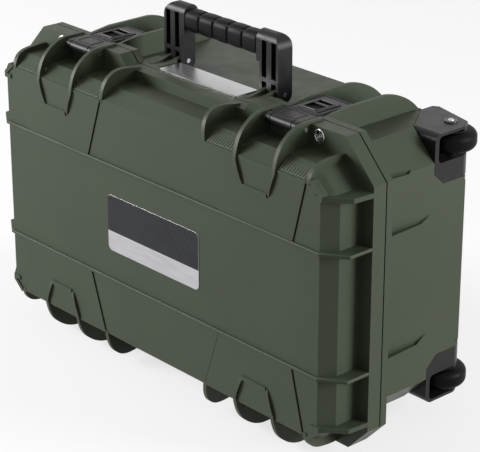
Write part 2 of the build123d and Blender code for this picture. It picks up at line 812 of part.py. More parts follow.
with BuildPart() as base_shell:
    # body with rounded back edges, then the flange
    add(slab_y(outline(base_half, base_top, base_corner), lip, base_depth))
    back_face = faces().sort_by(Axis.Y)[-1]
    fillet(back_face.edges(), base_edge)
    add(slab_y(flange_outline(), lip, base_flange))
    # tall ribs either side of each latch; the lower ones are the feet
    for offset in (-divider_spacing / 2, divider_spacing / 2):
        x0 = latch_x + offset - divider_thick / 2
        join(four_corners(slab_x(divider_profile(), x0, x0 + divider_thick)))
    # platform and lugs for the carrying handle, knuckles for the hinges
    add(block(-platform_half_length, platform_half_length, lip, platform_back,
              cavity_top, centre_top))
    for offset in (-slot_offset, slot_offset):
        x0 = arm_middle + offset - lug_thick / 2
        join(two_ends(slab_x(handle_lug_profile(), x0, x0 + lug_thick)))
    knuckle_half = lug_inner - knuckle_gap
    for centre in latch_centres:
        add(slab_x(hinge_knuckle_profile(), centre - knuckle_half, centre + knuckle_half))
    # hollow: full section, then stepped round the brackets, then beside the channel
    near_channel = rectangle(-base_half, base_half, -channel_half - channel_side,
                             channel_half + channel_side)
    stepped = hollow_outline(0, True)
    cut([
        slab_y(hollow_outline(0, False), 0, body_depth),
        slab_y(stepped, body_depth, hollow_back),
        slab_y(stepped - near_channel, hollow_back, base_depth - wall),
    ])
    # wheel pockets, tube channel, recess for the pull grip, seat for the rear cover
    far = base_depth + 1
    cut(top_and_bottom(block(pocket_x, base_half + 1, pocket_y, far, pocket_z, base_top + 1)))
    join(top_and_bottom(slab_z(bracket_corner_outline(0), room_high + seat_gap, base_top)))
    join(top_and_bottom(slab_x(bracket_bevel_fill(), pocket_x - 1, base_half)))
    cut([
        block(recess_x, tube_end + wall, channel_front, far, -channel_half, channel_half),
        block(-base_half - 1, recess_x, channel_front, far, -channel_half, channel_half),
        slab_x(cover_outline(seat_gap), recess_x - seat_gap, base_half + 1),
    ])
    cut(two_ends(solid)[0] for solid in scoops())
    cut(two_ends(solid)[1] for solid in scoops()[:2])
    for centre in latch_centres:
        # latch channel through the flange, hinge bore, room for the lid's lugs
        cut([
            block(centre - channel_half_width, centre + channel_half_width, 0,
                  base_flange, channel_height, foot_reach),
            rod_x(centre - lug_outer, centre + lug_outer, 0, -hinge_height,
                  hinge_pin_radius + running),
        ])
        for x0, x1 in ((-lug_room, -lug_inner + seat_gap), (lug_inner - seat_gap, lug_room)):
            cut([block(centre + x0, centre + x1, 0,
                       ear_sweep + pass_gap, -hinge_height - hinge_radius - pass_gap,
                       -hinge_height + hinge_radius + pass_gap)])
        # catch that the trigger's claw hooks under
        add(block(centre - catch_half_width, centre + catch_half_width, base_flange - 1,
                  base_flange + catch_reach, channel_height - catch_thick, channel_height))
    # pivot bores, eyelet holes and screw pilots
    cut([rod_x(-handle_half_length, handle_half_length, *handle_axis,
               handle_pin_radius + running)])
    for x in (-eyelet_x, eyelet_x):
        cut([rod_y(x, eyelet_height, 0, base_flange + 1, eyelet_barrel)])
    for x, z in cover_screw_places:
        cut([rod_y(x, z, head_y - cover_screw_length, base_depth, screw_radius)])
    for x, z in bracket_screw_places:
        cut([rod_y(x, z, pocket_y - bracket_thread, pocket_y + bracket_bevel[0], screw_radius)])
finish(base_shell, "base_shell")

with BuildPart() as base_foam:
    # fills the base behind the laptop pocket
    stepped_foam = hollow_outline(soft_gap, True)
    join([
        slab_y(hollow_outline(soft_gap, False), lip + soft_gap, body_depth - soft_gap),
        slab_y(stepped_foam, body_depth - soft_gap, hollow_back - soft_gap),
    ])
    pocket_x_size, pocket_z_size, pocket_deep = laptop_pocket
    pocket_floor = lip + soft_gap + pocket_deep + pad_thick
    cut([block(-pocket_x_size / 2, pocket_x_size / 2, 0, pocket_floor,
               -pocket_z_size / 2, pocket_z_size / 2)])
finish(base_foam, "base_foam")

with BuildPart() as laptop_pad:
    # loose pad on the floor of the laptop pocket
    add(block(-pocket_x_size / 2 + soft_gap, pocket_x_size / 2 - soft_gap,
              pocket_floor - pad_thick, pocket_floor,
              -pocket_z_size / 2 + soft_gap, pocket_z_size / 2 - soft_gap))
finish(laptop_pad, "laptop_pad")

with BuildPart() as handle_label:
    # metal plate on the platform under the carrying handle
    label_length, label_margin, label_thick = handle_label_size
    with BuildSketch(level(centre_top)):
        with Locations((0, (lip + platform_back) / 2)):
            RectangleRounded(label_length, platform_back - lip - label_margin, 2)
    extrude(amount=label_thick)
finish(handle_label, "handle_label")


# ================= latches =================
def latch_profile():
    """Side view of a latch: knuckle round the pin, then the long plate."""
    y, z = latch_axis
    with BuildSketch() as shape:
        with Locations((y, z)):
            Circle(knuckle_radius)
        add(rectangle(y, latch_end, latch_under, latch_top))
    return shape.sketch


def make_latch(centre):
    """Latch lever with its trigger window."""
    half = latch_width / 2
    y, z = latch_axis
    outer_x = window_half_width + frame_margin
    below, above = latch_under - 2 * latch_plate, latch_top + latch_plate
    with BuildPart() as lever:
        add(slab_x(latch_profile(), centre - half, centre + half))
        for x0 in (centre - half, centre + half - latch_skirt):
            add(block(x0, x0 + latch_skirt, y + knuckle_radius, latch_end,
                      flange_top - skirt_drop, latch_top - 1))
        add(block(centre - half, centre + half, latch_end - latch_skirt, latch_end,
                  latch_under - latch_plate, latch_top))
        # raised frame above, cheeks for the trigger pin below
        add(block(centre - outer_x, centre + outer_x, window_front - frame_margin,
                  window_back + frame_margin, latch_top - 1, latch_top + frame_proud))
        for x0 in (centre - outer_x, centre + window_half_width):
            add(block(x0, x0 + frame_margin, window_front, cross_bar[1],
                      trigger_axis[1] - trigger_hub_radius, latch_under))
        fillet(lever.edges().filter_by(Axis.X).group_by(Axis.Z)[-1], 0.6)
        bar_front, bar_back = cross_bar
        inner = window_half_width
        cut([
            block(centre - inner, centre + inner, window_front, bar_front, below, above),
            block(centre - inner, centre + inner, bar_back, window_back, below, above),
            rod_x(centre - half, centre + half, y, z, latch_pin_radius + running),
            rod_x(centre - outer_x, centre + outer_x, *trigger_axis, trigger_pin_radius),
        ])
        # seams that divide the front roll in three
        seam_width, seam_deep = knuckle_seam
        seam = circle(y, z, knuckle_radius + 1) - circle(y, z, knuckle_radius - seam_deep)
        for x0 in (centre - outer_x - seam_width, centre + outer_x):
            cut([slab_x(seam, x0, x0 + seam_width)])
    return lever


def make_trigger(centre):
    """Rocking button in the latch's window with the claw below it."""
    y, z = trigger_axis
    half = window_half_width - trigger_gap
    button_front = window_front + trigger_gap + trigger_swing
    button_back = cross_bar[0] - trigger_gap
    tip_reach, tip_thick = claw_tip
    tip_low = channel_height - catch_thick - soft_gap - tip_thick
    leg_front = base_flange + catch_reach + catch_gap
    hub_end = centre + hub_side
    with BuildPart() as rocker:
        join([
            block(centre - half, centre + half, button_front, button_back, latch_under,
                  latch_top - 1),
            rod_x(centre - half, hub_end, y, z, trigger_hub_radius),
            block(centre - half, hub_end, y - 2, y + 2, z, latch_under + 1),
            block(centre - claw_half_width, hub_end, leg_front, leg_front + claw_thick,
                  tip_low, z),
            block(centre - claw_half_width, hub_end, leg_front - tip_reach, leg_front + 1,
                  tip_low, tip_low + tip_thick),
        ])
        cut([rod_x(centre - half, centre + half, y, z, trigger_pin_radius + running)])
    return rocker


def make_trigger_spring(centre):
    """Torsion spring coiled round the trigger pin."""
    y, z = trigger_axis
    wire = trigger_wire
    coil = trigger_pin_radius + wire + running
    start = centre + hub_side + 2 * wire
    room = window_half_width - hub_side - 4 * wire
    with BuildPart() as spring:
        with BuildLine() as path:
            Helix(pitch=2.4 * wire, height=room, radius=coil,
                  center=(start, y - middle_y, mid + z), direction=(1, 0, 0))
        with BuildSketch(Plane(origin=path.line @ 0, z_dir=path.line % 0)):
            Circle(wire)
        sweep(is_frenet=True)
    return spring


for name, centre in (("left", -latch_x), ("right", latch_x)):
    finish(make_latch(centre), f"latch_{name}")
    finish(make_trigger(centre), f"trigger_{name}")
    finish(make_trigger_spring(centre), f"trigger_spring_{name}")
    with BuildPart() as trigger_pin:
        reach = window_half_width + frame_margin
        add(rod_x(centre - reach, centre + reach, *trigger_axis, trigger_pin_radius))
    finish(trigger_pin, f"trigger_pin_{name}")


# ================= carrying handle =================

def handle_side_profile():
    """Side view of the handle: round about the pivot, gently rounded top."""
    y, z = handle_axis
    with BuildSketch() as shape:
        with Locations((y, z)):
            Circle(arm_radius)
        add(rectangle(y - arm_radius, y + arm_radius, z, handle_top - arm_radius))
        with Locations((y, handle_top - arm_radius)):
            Circle(arm_radius)
    return shape.sketch


with BuildPart() as handle_frame:
    y, z = handle_axis
    # two arms with rounded shoulders, joined by a core bar
    with BuildSketch(facing(y + arm_radius)):
        low = z - arm_radius
        add(rectangle(-handle_half_length, handle_half_length, low, handle_top))
        fillet(vertices().group_by(Axis.Y)[-1], handle_corner)
        shoulder = flange_top + grip_rise - arm_shoulder
        add(rectangle(-grip_half_length, grip_half_length, shoulder, handle_top + 1),
            mode=Mode.SUBTRACT)
        add(rectangle(-arm_inner, arm_inner, low, shoulder), mode=Mode.SUBTRACT)
    extrude(amount=2 * arm_radius)
    add(slab_x(handle_side_profile(), -handle_half_length, handle_half_length),
        mode=Mode.INTERSECT)
    core_y, core_z = grip_core
    add(block(-arm_inner, arm_inner, y - core_y / 2, y + core_y / 2,
              grip_middle_z - core_z / 2, grip_middle_z + core_z / 2))
    for offset in (-slot_offset, slot_offset):
        x0 = arm_middle + offset - slot_width / 2
        web_low, web_high = slot_web
        low_slot = block(x0, x0 + slot_width, y - 20, y + 20, z - 20, z + web_low)
        high_slot = block(x0, x0 + slot_width, y - 20, y - arm_radius + slot_depth,
                          z + web_high, flange_top + slot_rise)
        cut(two_ends(low_slot))
        cut(two_ends(high_slot))
    cut([rod_x(-handle_half_length, handle_half_length, y, z, handle_pin_radius)])
finish(handle_frame, "handle_frame")

with BuildPart() as handle_grip:
    # soft sleeve round the core bar, between the shoulders
    y, z = handle_axis
    outer_y = grip_core[0] / 2 + grip_cover
    outer_z = grip_core[1] / 2 + grip_cover
    with BuildSketch(side(-grip_half_length)):
        with Locations((y, grip_middle_z)):
            RectangleRounded(2 * outer_y, 2 * outer_z, grip_round)
            Rectangle(*grip_core, mode=Mode.SUBTRACT)
    extrude(amount=2 * grip_half_length)
finish(handle_grip, "handle_grip")

with BuildPart() as handle_pins:
    for solid in two_ends(rod_x(handle_half_length - arm_width, handle_half_length,
                                *handle_axis, handle_pin_radius)):
        add(solid)
finish(handle_pins, "handle_pins")


# ================= wheels =================
def bracket_plan():
    """Plan of a wheel bracket: rounded round the wheel, a tail behind the case."""
    with BuildSketch() as shape:
        with BuildLine():
            Polyline((base_half - 8, bracket_back - 12), (bracket_inner_x + 6, bracket_back),
                     (bracket_inner_x, bracket_back - 4), (bracket_inner_x, bracket_front),
                     (base_half, bracket_front), (base_half, axle_y))
            RadiusArc((base_half, axle_y), (base_half - 8, bracket_back - 12), -24)
        make_face()
    return shape.sketch


def bracket_window(y0, y1):
    """End view of the wheel's opening, with rounded front corners."""
    length = y1 - y0 + 2 * bracket_round[1]
    with BuildSketch() as shape:
        with Locations((y0 + length / 2, (room_low + room_high) / 2)):
            RectangleRounded(length, room_high - room_low, bracket_round[1])
    return shape.sketch


with BuildPart() as wheel_bracket_upper:
    add(slab_z(bracket_plan(), bracket_low, bracket_high))
    cut([slab_z(bracket_corner_outline(seat_gap), room_high, bracket_high)])
    # bevelled lower front corner
    bevel_y, bevel_z = bracket_bevel
    bevel = polygon((bracket_front, bracket_low + bevel_z), (bracket_front, bracket_low),
                    (bracket_front + bevel_y, bracket_low))
    cut([slab_x(bevel, bracket_inner_x - 1, base_half + 1)])
    # rounded upper front corner
    round_y = bracket_front + bracket_round[0]
    round_z = bracket_high - bracket_round[0]
    rounding = rectangle(bracket_front - 1, round_y, round_z, bracket_high + 1)
    rounding = rounding - circle(round_y, round_z, bracket_round[0])
    cut([slab_x(rounding, pocket_x + bracket_corner[0], base_half + 1)])
    # room for the wheel, open at the end and the back; the lower box opens inwards
    far = bracket_back + 1
    window_y = bracket_front + 1.5 * wall - 0.5
    cut([
        rod_z(axle_x, axle_y, room_low, room_high, room_radius),
        slab_x(bracket_window(window_y, far), axle_x, base_half + 1),
        block(axle_x - room_radius, base_half + 1, axle_y, far, room_low, room_high),
        block(bracket_inner_x - 1, base_half - bracket_plate, bracket_front + 16,
              base_depth - wall, bracket_low + bracket_plate, room_low - bracket_plate),
        rod_z(axle_x, axle_y, bracket_low + wall, bracket_high, axle_radius),
    ])
    for x, z in upper_screws:
        cut([
            rod_y(x, z, bracket_front - 1, far, screw_radius),
            rod_y(x, z, bracket_head_y, far, screw_head[0]),
        ])
finish(wheel_bracket_upper, "wheel_bracket_upper")

with BuildPart() as wheel_bracket_lower:
    add(wheel_bracket_upper.part.mirror(mirror_mid))
finish(wheel_bracket_lower, "wheel_bracket_lower")

with BuildPart() as wheel_axles:
    axle = rod_z(axle_x, axle_y, room_low - bracket_plate, bracket_high, axle_radius)
    head = rod_z(axle_x, axle_y, bracket_high, bracket_high + axle_head[1], axle_head[0])
    join(top_and_bottom(axle + head))
finish(wheel_axles, "wheel_axles")

with BuildPart() as wheel_bearing_upper:
    add(rod_z(axle_x, axle_y, wheel_low - 1, wheel_low + wheel_width + 1, bearing_radius))
    cut([rod_z(axle_x, axle_y, wheel_low - 1, wheel_low + wheel_width + 1,
               axle_radius + running)])
with BuildPart() as wheel_hub_upper:
    add(rod_z(axle_x, axle_y, wheel_low + 0.5, wheel_low + wheel_width - 0.5, hub_radius))
    # dished faces leave a boss, a web and a rim
    dish = (wheel_width - hub_web) / 2
    for z0 in (wheel_low, wheel_low + wheel_width - dish):
        rim = circle(axle_x, axle_y, hub_radius - hub_rim)
        boss = circle(axle_x, axle_y, bearing_radius + hub_rim)
        cut([slab_z(rim - boss, z0, z0 + dish)])
    cut([rod_z(axle_x, axle_y, wheel_low, wheel_low + wheel_width, bearing_radius)])
with BuildPart() as wheel_tyre_upper:
    add(rod_z(axle_x, axle_y, wheel_low, wheel_low + wheel_width, wheel_radius))
    fillet(edges(), tyre_round)
    cut([rod_z(axle_x, axle_y, wheel_low, wheel_low + wheel_width, hub_radius)])
for builder, name in ((wheel_bearing_upper, "wheel_bearing"), (wheel_hub_upper, "wheel_hub"),
                      (wheel_tyre_upper, "wheel_tyre")):
    finish(builder, f"{name}_upper")
    with BuildPart() as lower:
        add(builder.part.mirror(mirror_mid))
    finish(lower, f"{name}_lower")


# ================= telescopic handle =================
def tube(x0, x1, size, hollow):
    """Pair of rectangular tubes, one either side of the middle."""
    across_y, across_z = size
    with BuildPart() as pair:
        with BuildSketch(side(x0)):
            with Locations((tube_y, tube_height), (tube_y, -tube_height)):
                RectangleRounded(across_y, across_z, tube_round)
                if hollow:
                    RectangleRounded(across_y - 2 * tube_wall, across_z - 2 * tube_wall, 1,
                                     mode=Mode.SUBTRACT)
        extrude(amount=x1 - x0)
    return pair


step = 2 * (tube_wall + tube_gap)
middle_tube = (outer_tube[0] - step, outer_tube[1] - step)
inner_tube = (middle_tube[0] - step, middle_tube[1] - step)
leg_y, leg_z = grip_leg
middle_start = recess_x - middle_proud

finish(tube(recess_x, tube_end, outer_tube, True), "trolley_outer_tubes")
finish(tube(middle_start, tube_end - stage_step, middle_tube, True), "trolley_middle_tubes")
finish(tube(leg_start + 2, tube_end - 2 * stage_step, inner_tube, True), "trolley_inner_tubes")

with BuildPart() as tube_collars:
    # trims the mouths of the outer tubes
    tall = outer_tube[1] / 2 + collar_margin
    for z in (-tube_height, tube_height):
        add(block(recess_x + 1, recess_x + 1 + collar_thick, channel_front,
                  base_depth - cover_thick, z - tall, z + tall))
    cut([tube(recess_x, recess_x + 2 * wall, outer_tube, False).part])
finish(tube_collars, "tube_collars")

with BuildPart() as tube_sockets:
    # closed sockets at the wheel end
    for z in (-tube_height, tube_height):
        add(block(tube_end - socket_grip, tube_end + wall, channel_front,
                  base_depth - cover_thick, z - tall, z + tall))
    cut([tube(tube_end - 2 * socket_grip, tube_end, outer_tube, False).part])
finish(tube_sockets, "tube_sockets")

with BuildPart() as rear_cover:
    add(slab_x(cover_outline(0), recess_x, base_half - 2))
    cut([block(recess_x - 1, base_half - 2 - wall, 0, base_depth - cover_thick,
               -channel_half, channel_half)])
    for x, z in cover_screw_places:
        cut([rod_y(x, z, 0, base_depth, screw_radius),
             rod_y(x, z, head_y, base_depth + 1, screw_head[0])])
finish(rear_cover, "rear_cover")


def screw(x, height, head, length):
    """Screw with its head at a given Y, pointing to the front."""
    head_radius, head_thick = screw_head
    slot_long, slot_wide, slot_deep = cross_recess
    back = head + head_thick
    with BuildPart() as solid:
        add(rod_y(x, height, head, back, head_radius))
        add(rod_y(x, height, head - length, head + 0.5, screw_radius))
        for wide, tall in ((slot_long, slot_wide), (slot_wide, slot_long)):
            cut([block(x - wide / 2, x + wide / 2, back - slot_deep, back + 1,
                       height - tall / 2, height + tall / 2)])
    return solid.part


with BuildPart() as cover_screws:
    for x, z in cover_screw_places:
        add(screw(x, z, head_y, cover_screw_length))
finish(cover_screws, "cover_screws")

with BuildPart() as bracket_screws:
    for x, z in bracket_screw_places:
        add(screw(x, z, bracket_head_y, bracket_screw_length))
finish(bracket_screws, "bracket_screws")

with BuildPart() as trolley_grip:
    # hollow bar across the end of the case, with a leg for each inner tube
    bar_front = tube_y - grip_bar[1] / 2
    add(block(grip_x, leg_start, bar_front, bar_front + grip_bar[1],
              -grip_bar_half, grip_bar_half))
    fillet(edges().filter_by(Axis.Z), 5)
    fillet(faces().filter_by(Axis.Z).edges(), 2)
    for z in (-tube_height, tube_height):
        add(block(leg_start - 1, leg_start + 14, tube_y - leg_y / 2, tube_y + leg_y / 2,
                  z - leg_z / 2, z + leg_z / 2))
    cut([tube(leg_start + 2, leg_start + 20, inner_tube, False).part])
    hollow_y = grip_hollow
    hollow_x = (grip_x + wall, leg_start - wall)
    cut([block(*hollow_x, tube_y - hollow_y, tube_y + hollow_y,
               -tube_height - hollow_y, tube_height + hollow_y)])
    rod_room = rod_radius + seat_gap
    for z in (-tube_height, tube_height):
        cut([rod_x(leg_start - wall - 1, leg_start + 3, tube_y, z, rod_room)])
    button_y, button_z = button_size
    gap = seat_gap
    cut([block(grip_x - 1, grip_x + wall + 1, tube_y - button_y / 2 - gap,
               tube_y + button_y / 2 + gap, -button_z / 2 - gap, button_z / 2 + gap)])
finish(trolley_grip, "trolley_grip")

with BuildPart() as trolley_button:
    add(block(grip_x - button_proud, yoke_x, tube_y - button_y / 2, tube_y + button_y / 2,
              -button_z / 2, button_z / 2))
    front_face = faces().sort_by(Axis.X)[0]
    fillet(front_face.edges(), 1)
finish(trolley_button, "trolley_button")

with BuildPart() as lock_rods:
    # yoke inside the grip with a rod down each inner tube
    yoke_thick, yoke_half = yoke
    yoke_back = yoke_x + yoke_thick
    add(block(yoke_x, yoke_back, tube_y - yoke_half, tube_y + yoke_half,
              -tube_height - yoke_half, tube_height + yoke_half))
    for z in (-tube_height, tube_height):
        add(rod_x(yoke_back - 1, tube_end - 3 * stage_step, tube_y, z, rod_radius))
finish(lock_rods, "lock_rods")

with BuildPart() as button_spring:
    # return spring at its pressed length, against the inside of the grip
    coil, wire = button_coil
    spring_start = yoke_back + button_travel
    spring_room = leg_start - wall - spring_start - seat_gap
    with BuildLine() as spring_path:
        Helix(pitch=spring_room / 4.4, height=spring_room - 2 * wire, radius=coil,
              center=(spring_start + wire, tube_y - middle_y, mid), direction=(1, 0, 0))
    with BuildSketch(Plane(origin=spring_path.line @ 0, z_dir=spring_path.line % 0)):
        Circle(wire)
    sweep(is_frenet=True)
finish(button_spring, "button_spring")
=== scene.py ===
"""Looks for a rolling hard case: materials, soft edges and the pieces the CAD model leaves plain.

Sizes in millimetres are measured from mid-length, the parting plane and mid-height, like the
model's own sizes; place() turns them into metres in the model's frame.
"""
import json
import math
import bmesh
import bpy
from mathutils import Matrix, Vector, noise as field


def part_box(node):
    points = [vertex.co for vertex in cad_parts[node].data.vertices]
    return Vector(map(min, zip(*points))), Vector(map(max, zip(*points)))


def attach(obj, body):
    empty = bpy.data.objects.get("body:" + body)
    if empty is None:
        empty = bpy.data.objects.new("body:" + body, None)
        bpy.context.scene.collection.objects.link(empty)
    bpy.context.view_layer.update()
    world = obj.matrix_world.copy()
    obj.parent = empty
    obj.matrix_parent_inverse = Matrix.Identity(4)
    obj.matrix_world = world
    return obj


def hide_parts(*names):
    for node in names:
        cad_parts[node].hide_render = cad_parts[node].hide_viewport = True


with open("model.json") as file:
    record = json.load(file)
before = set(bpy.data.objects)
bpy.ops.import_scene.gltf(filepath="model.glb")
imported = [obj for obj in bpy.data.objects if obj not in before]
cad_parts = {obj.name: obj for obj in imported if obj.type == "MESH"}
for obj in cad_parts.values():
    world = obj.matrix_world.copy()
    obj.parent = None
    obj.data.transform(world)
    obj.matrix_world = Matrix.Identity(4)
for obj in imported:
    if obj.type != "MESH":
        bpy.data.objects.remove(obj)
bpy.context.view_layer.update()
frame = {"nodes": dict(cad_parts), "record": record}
nodes = frame["nodes"]
slot_of = {part["node"]: part["material_slot"] for part in frame["record"]["subparts"]}

MM = 0.001
parting_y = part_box("lid_eyelets")[1][1] + 0.8 * MM     # between the two flanges
middle_z = 176.4 * MM          # mid-height above the surface the case stands on

# ---------- sizes of the pieces, in millimetres ----------
face_y = -62.0                 # the lid's front face

label_half = (75.0, 32.5)
label_corner = 6.0
label_proud = 0.7              # silver plate in front of the face
label_edge = 0.25              # rounding of its front edge
field_inset = 0.2              # dark field inside the plate's outline
field_low = -9.5               # the field's lower edge
field_proud = 0.1              # field in front of the plate
field_edge = 0.08

ridge_low = (-61.6, 137.4)     # Y and height of the bevel's lower edge
ridge_high = (-46.9, 147.8)    # and of the ridges' upper ends
ridge_back = 0.5               # thickness of the ridged skin
# sections: share of a ridge's width, height
ridge_section = ((0.0, 0.05), (0.2, 0.75), (0.45, 0.95), (0.7, 0.8), (0.9, 0.1))
# stations: share of a ridge's length, share of its full height
ridge_stations = ((0.0, 0.0), (0.0, 0.75), (0.05, 1.0), (0.5, 1.0), (0.95, 1.0),
                  (1.0, 0.75), (1.0, 0.0))
# patches: from and to along X, number of ridges
ridge_patches = {"inner": (88.5, 130.5, 11), "outer": (193, 231.5, 10)}

sleeve_segments = 5
sleeve_round = 8.5             # corners of the sleeve's section
sleeve_groove = 0.80           # section in a groove, as a share of the full one
# along a segment: share of its length, share of the full section
sleeve_stations = ((0.0, sleeve_groove), (0.025, 0.86), (0.05, 0.955), (0.10, 0.975), (0.3, 0.99),
                   (0.5, 1.0), (0.7, 0.99), (0.90, 0.975), (0.95, 0.955), (0.975, 0.86))

frame_rise = 1.0               # a latch's window frame above its plate
# rims on a latch's plate: Y reach, half width, corner radius, rim width, rise, depth below
latch_rims = (
    ((8.6, 36.9), 11.9, 3.2, 1.9, 1.7, 0.4),     # round the window
    ((1.0, 50.6), 20.4, 2.0, 1.5, 0.75, 1.0),    # round the plate
    ((-21.5, -3.0), 12.6, 1.2, 1.1, 0.5, 1.0),   # panel by the hinge
)

eyelet_rim = 7.8               # radius of the eyelets' flat rims
rolled_radius = 6.2            # centre line of the rolled rims
rolled_tube = 1.5
rolled_squash = 0.8
rolled_sink = 0.9              # centre line behind the flat rim's face

cap_radius = 3.1               # domed ends of the axles
cap_rise = 1.5
cap_tilts = (-20, 0, 18, 36, 54, 70, 82)

seal_width = 4.4
seal_cut = (27.0, 26.0)        # cut corners of the seal's inner outline
seal_cut_growth = 0.25         # growth of a cut corner per millimetre outwards
# section of the seal: outwards from its inner side, Y
seal_section = ((0.0, -4.1), (0.0, -1.0), (0.35, -0.1), (1.1, 0.4), (1.8, 0.45), (2.2, 0.15),
                (2.6, 0.45), (3.3, 0.4), (4.05, -0.1), (seal_width, -1.0), (seal_width, -4.1))

# lid foam
lid_foam_half = (255.5, 141.0)
lid_foam_cut = (27, 26)
crate_pitch = 30.0             # from peak to peak
crate_swing = 5.5              # half the height from dip to peak
crate_top = -24.2
crate_step = 3.75
crate_border = (4, 16)         # level border, and where the peaks are full
crate_corner = 28.0            # how much of the corners is cut off
# sides of a foam: growth along X and Z from the face's border, Y
lid_foam_sides = ((2.4, 2.4, -24.8), (3.6, 3.6, -26.5), (2.6, 2.6, -34), (3.6, 3.6, -45),
                  (-8.5, -9.8, -57.2))

# base foam and the pad in its pocket
pocket_half = (185.0, 125.0)
pocket_floor = 53.2
rim_top = 2.6
rim_round = 2.2                # drop of the rim's rounding, and its width
rim_run = 3.0
rim_crown = 0.8                # rise of the rim at its outer side, and its width
crown_run = 20.0
wall_run = 0.6                 # width of the pocket's wall
pocket_inner = (176.0, 117.0)  # outermost grid lines on the pocket's floor, and their spacing
pocket_step = 16.0
base_foam_half_z = 142.0
base_foam_side = 4.0           # room for the soft sides
base_foam_cut = (29, 30)
base_foam_sides = ((2.5, 2.5, 2.6), (3.8, 3.8, 4.5), (2.6, 2.6, 40), (3.8, 3.8, 84), (2.5, 2.5, 88))
pad_half = (182.0, 122.0)
pad_top = 45.6
pad_crown = 2.0
pad_border = 22.0              # width over which the pad thins to its edges
pad_waist = 1.6                # sides drawn in between the corners
pad_step = 7.0
pad_sides = ((1.4, 1.4, 48.2), (2.0, 2.0, 49.8), (1.4, 1.4, 52.0), (0.4, 0.4, 53.0))


def place(x, y, z):
    """Millimetres from mid-length, the parting plane and mid-height, in the model's frame."""
    return Vector((x * MM, parting_y + y * MM, middle_z + z * MM))


# ---------- node helpers ----------
def new_material(name):
    """A node material, its node tree and its shader."""
    material = bpy.data.materials.new(name)
    material.use_nodes = True
    tree = material.node_tree
    return material, tree, tree.nodes["Principled BSDF"]


def add_node(tree, kind, inputs=(), **settings):
    """A node whose inputs are linked to sockets or set to values."""
    node = tree.nodes.new(kind)
    for key, value in settings.items():
        setattr(node, key, value)
    for key, value in dict(inputs).items():
        if isinstance(value, bpy.types.NodeSocket):
            tree.links.new(value, node.inputs[key])
        else:
            node.inputs[key].default_value = value
    return node


def linear(red, green, blue):
    """A colour written as it looks on a screen, 0 to 255, as Blender's linear colour."""
    def channel(value):
        value /= 255
        return value / 12.92 if value <= 0.04045 else ((value + 0.055) / 1.055) ** 2.4
    return (channel(red), channel(green), channel(blue), 1.0)


def coordinates(tree, stretch=None):
    """Object coordinates, each axis scaled by the stretch."""
    spot = add_node(tree, "ShaderNodeTexCoord").outputs["Object"]
    if stretch:
        spot = add_node(tree, "ShaderNodeMapping", {"Vector": spot, "Scale": stretch}).outputs[0]
    return spot


def noise(tree, scale, detail, stretch=None):
    """Noise from 0 to 1 over the object's coordinates."""
    return add_node(tree, "ShaderNodeTexNoise", {
        "Vector": coordinates(tree, stretch), "Scale": scale, "Detail": detail, "Roughness": 0.55,
    }).outputs["Fac"]


def remap(tree, value, low, high, to_low, to_high):
    """The value moved from one range to another, and kept inside it."""
    return add_node(tree, "ShaderNodeMapRange", {
        "Value": value, "From Min": low, "From Max": high, "To Min": to_low, "To Max": to_high,
    }).outputs[0]


def math_node(tree, operation, *values):
    """Result of a maths node on sockets and numbers."""
    return add_node(tree, "ShaderNodeMath", enumerate(values), operation=operation).outputs[0]


def blend_colour(tree, factor, first, second):
    """The first colour at factor 0 and the second at 1."""
    node = add_node(tree, "ShaderNodeMix", data_type="RGBA")
    for index, value in ((0, factor), (6, first), (7, second)):
        if isinstance(value, bpy.types.NodeSocket):
            tree.links.new(value, node.inputs[index])
        else:
            node.inputs[index].default_value = value
    return node.outputs[2]


def edge_mask(tree, radius):
    """1 on rounded-over edges, 0 on flats."""
    bevel = add_node(tree, "ShaderNodeBevel", {"Radius": radius}, samples=4).outputs[0]
    flat = add_node(tree, "ShaderNodeNewGeometry").outputs["Normal"]
    dot = add_node(tree, "ShaderNodeVectorMath", {0: bevel, 1: flat}, operation="DOT_PRODUCT")
    return remap(tree, dot.outputs["Value"], 0.999, 0.93, 0.0, 1.0)


def bumped(tree, shader, height, strength, distance):
    """Bump from a height on the shader's normal."""
    bump = add_node(tree, "ShaderNodeBump",
                    {"Strength": strength, "Distance": distance, "Height": height})
    tree.links.new(bump.outputs[0], shader.inputs["Normal"])


def seen_directly(tree):
    """1 on camera, glossy and transmission rays, 0 on the rays that carry light."""
    rays = add_node(tree, "ShaderNodeLightPath").outputs
    seen = math_node(tree, "MAXIMUM", rays["Is Camera Ray"], rays["Is Glossy Ray"])
    return math_node(tree, "MAXIMUM", seen, rays["Is Transmission Ray"])


def moulded(name, colour, roughness, grain=0.10, grain_size=900, highlight_lift=1.12, specular=0.5):
    """Moulded plastic: a fine spark-eroded grain, faint mottling and a painted highlight that makes
    rounded-over edges paler.
    """
    material, tree, shader = new_material(name)
    broad = noise(tree, 9, detail=3)
    fine = noise(tree, grain_size, detail=2)
    tint = remap(tree, broad, 0.3, 0.7, 0.95, 1.05)
    tinted = add_node(tree, "ShaderNodeVectorMath", {0: linear(*colour)[:3], "Scale": tint},
                      operation="SCALE").outputs[0]
    # Painted highlight: rounded-over edges, found by the bevel mask, blend towards this paler copy
    # of the colour.
    highlight_colour = tuple(min(1, c * highlight_lift ** 2) for c in linear(*colour)[:3]) + (1,)
    edge = math_node(tree, "MULTIPLY", edge_mask(tree, 1.2 * MM), 0.6)
    tree.links.new(blend_colour(tree, edge, tinted, highlight_colour), shader.inputs["Base Color"])
    patchy = noise(tree, 60, detail=5)
    tree.links.new(remap(tree, patchy, 0.35, 0.65, roughness - 0.04, roughness + 0.04),
                   shader.inputs["Roughness"])
    shader.inputs["Specular IOR Level"].default_value = specular
    bumped(tree, shader, fine, grain, 0.0002)
    return material


